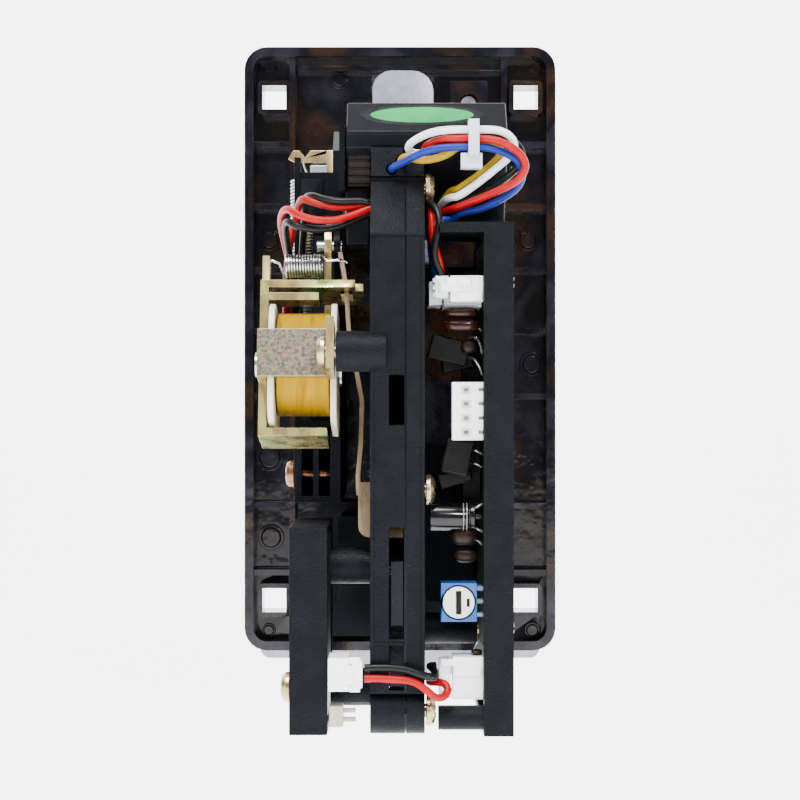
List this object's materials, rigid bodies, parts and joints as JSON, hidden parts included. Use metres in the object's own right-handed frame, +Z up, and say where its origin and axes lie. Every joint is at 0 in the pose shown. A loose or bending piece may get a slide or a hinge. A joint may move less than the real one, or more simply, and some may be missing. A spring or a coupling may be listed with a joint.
{
  "type": "coin acceptor",
  "caption": "Comparator coin acceptor: face plate, split coin track, sensing box, gate solenoid, coin return linkage, control board and exit sensor.",
  "frame": {"origin": "centre of the face plate, in the plane of its rear rim", "axes": "X across the face plate, +Y out of its public face, +Z up"},
  "size_m": [0.0654, 0.0851, 0.1341],
  "materials": {
    "gloss_black": "gloss moulded",
    "satin_black": "satin moulded",
    "textured_black": "fine spark texture",
    "silver_paint": "smooth silver",
    "yellow_zinc": "yellow passivated",
    "brass": "rolled",
    "bare_steel": "bright",
    "screw_zinc": "yellow passivated",
    "white_nylon": "moulded",
    "bobbin_nylon": "moulded",
    "yellow_tape": "film",
    "board_laminate": "printed board",
    "trimmer_blue": "moulded",
    "trimmer_white": "moulded",
    "can_black": "sleeve",
    "chip_black": "moulded",
    "sensor_beige": "moulded",
    "wire_white": "insulation",
    "wire_red": "insulation",
    "wire_black": "insulation",
    "wire_blue": "insulation",
    "wire_yellow": "insulation"
  },
  "bodies": {
    "acceptor": {"bezel_screw": "screw_zinc", "board_cover": "textured_black", "body_left_half": "textured_black", "body_right_half": "textured_black", "body_screw_lower": "screw_zinc", "body_screw_upper": "screw_zinc", "bracket_screw": "screw_zinc", "coil_bobbin": "bobbin_nylon", "coil_header": "white_nylon", "coil_lead_black": "wire_black", "coil_lead_red": "wire_red", "coil_plug": "white_nylon", "coil_winding": "yellow_tape", "coin_entry_bezel": "silver_paint", "comparator_housing": "satin_black", "cover_screw_lower": "screw_zinc", "cover_screw_upper": "screw_zinc", "electrolytic_capacitor": "can_black", "face_plate": "gloss_black", "gate_spring": "bare_steel", "harness_header": "white_nylon", "harness_plug": "white_nylon", "harness_wire_black": "wire_black", "harness_wire_blue": "wire_blue", "harness_wire_red": "wire_red", "harness_wire_white": "wire_white", "harness_wire_yellow": "wire_yellow", "lever_pin": "bare_steel", "light_sensor": "sensor_beige", "link_header_left": "white_nylon", "link_header_right": "white_nylon", "link_lead_black": "wire_black", "link_lead_red": "wire_red", "link_plug_left": "white_nylon", "link_plug_right": "white_nylon", "main_board": "board_laminate", "mechanism_bracket": "satin_black", "microcontroller": "chip_black", "output_header": "white_nylon", "return_chute": "satin_black", "return_cup": "silver_paint", "return_spring": "bare_steel", "sample_coin": "bare_steel", "sensing_coil": "brass", "sensor_board": "board_laminate", "sensor_cover": "textured_black", "sensor_cover_screw": "screw_zinc", "solenoid_core": "bare_steel", "solenoid_frame": "yellow_zinc", "solenoid_screw": "screw_zinc", "track_screw": "screw_zinc", "trimmer_body": "trimmer_blue", "zip_tie": "white_nylon"},
    "button": {"return_button": "silver_paint"},
    "lever": {"return_lever": "brass"},
    "cup_flap": {"return_flap": "textured_black"},
    "latch": {"pullback_flap": "textured_black"},
    "clamp": {"sample_clamp": "satin_black"},
    "gate": {"gate_lever": "yellow_zinc"},
    "trimmer": {"trimmer_rotor": "trimmer_white"}
  },
  "joints": [
    {"name": "return_button_press", "type": "slide", "parent": "acceptor", "child": "button", "axis": [0, -1, 0], "range_m": [0, 0.003], "stiffness_N_per_m": 200, "springref_m": -0.001},
    {"name": "return_lever_swing", "type": "hinge", "parent": "acceptor", "child": "lever", "pos_m": [0, -0.034, 0.0186], "axis": [1, 0, 0], "range_deg": [0, 12], "deforming": ["return_spring"]},
    {"name": "return_flap_swing", "type": "hinge", "parent": "acceptor", "child": "cup_flap", "pos_m": [0, 0.0152, -0.0356], "axis": [-1, 0, 0], "range_deg": [0, 60]},
    {"name": "pullback_flap_swing", "type": "hinge", "parent": "acceptor", "child": "latch", "pos_m": [0, -0.059, -0.041], "axis": [-1, 0, 0], "range_deg": [0, 28]},
    {"name": "sample_clamp_slide", "type": "slide", "parent": "acceptor", "child": "clamp", "axis": [-1, 0, 0], "range_m": [0, 0.003], "stiffness_N_per_m": 150, "springref_m": -0.001},
    {"name": "gate_swing", "type": "hinge", "parent": "acceptor", "child": "gate", "pos_m": [-0.01, -0.04287, 0.00924], "axis": [0, 0.9744, -0.225], "range_deg": [0, 5], "stiffness_Nm_per_rad": 0.02, "springref_deg": -5.73, "deforming": ["gate_spring"]},
    {"name": "trimmer_turn", "type": "hinge", "parent": "acceptor", "child": "trimmer", "pos_m": [0.0105, -0.056, -0.04705], "axis": [0, 1, 0], "range_deg": [-130, 130]}
  ],
  "couplings": [
    {"joint": "return_lever_swing", "follows": "return_button_press", "rad_per_m": 69.8}
  ]
}
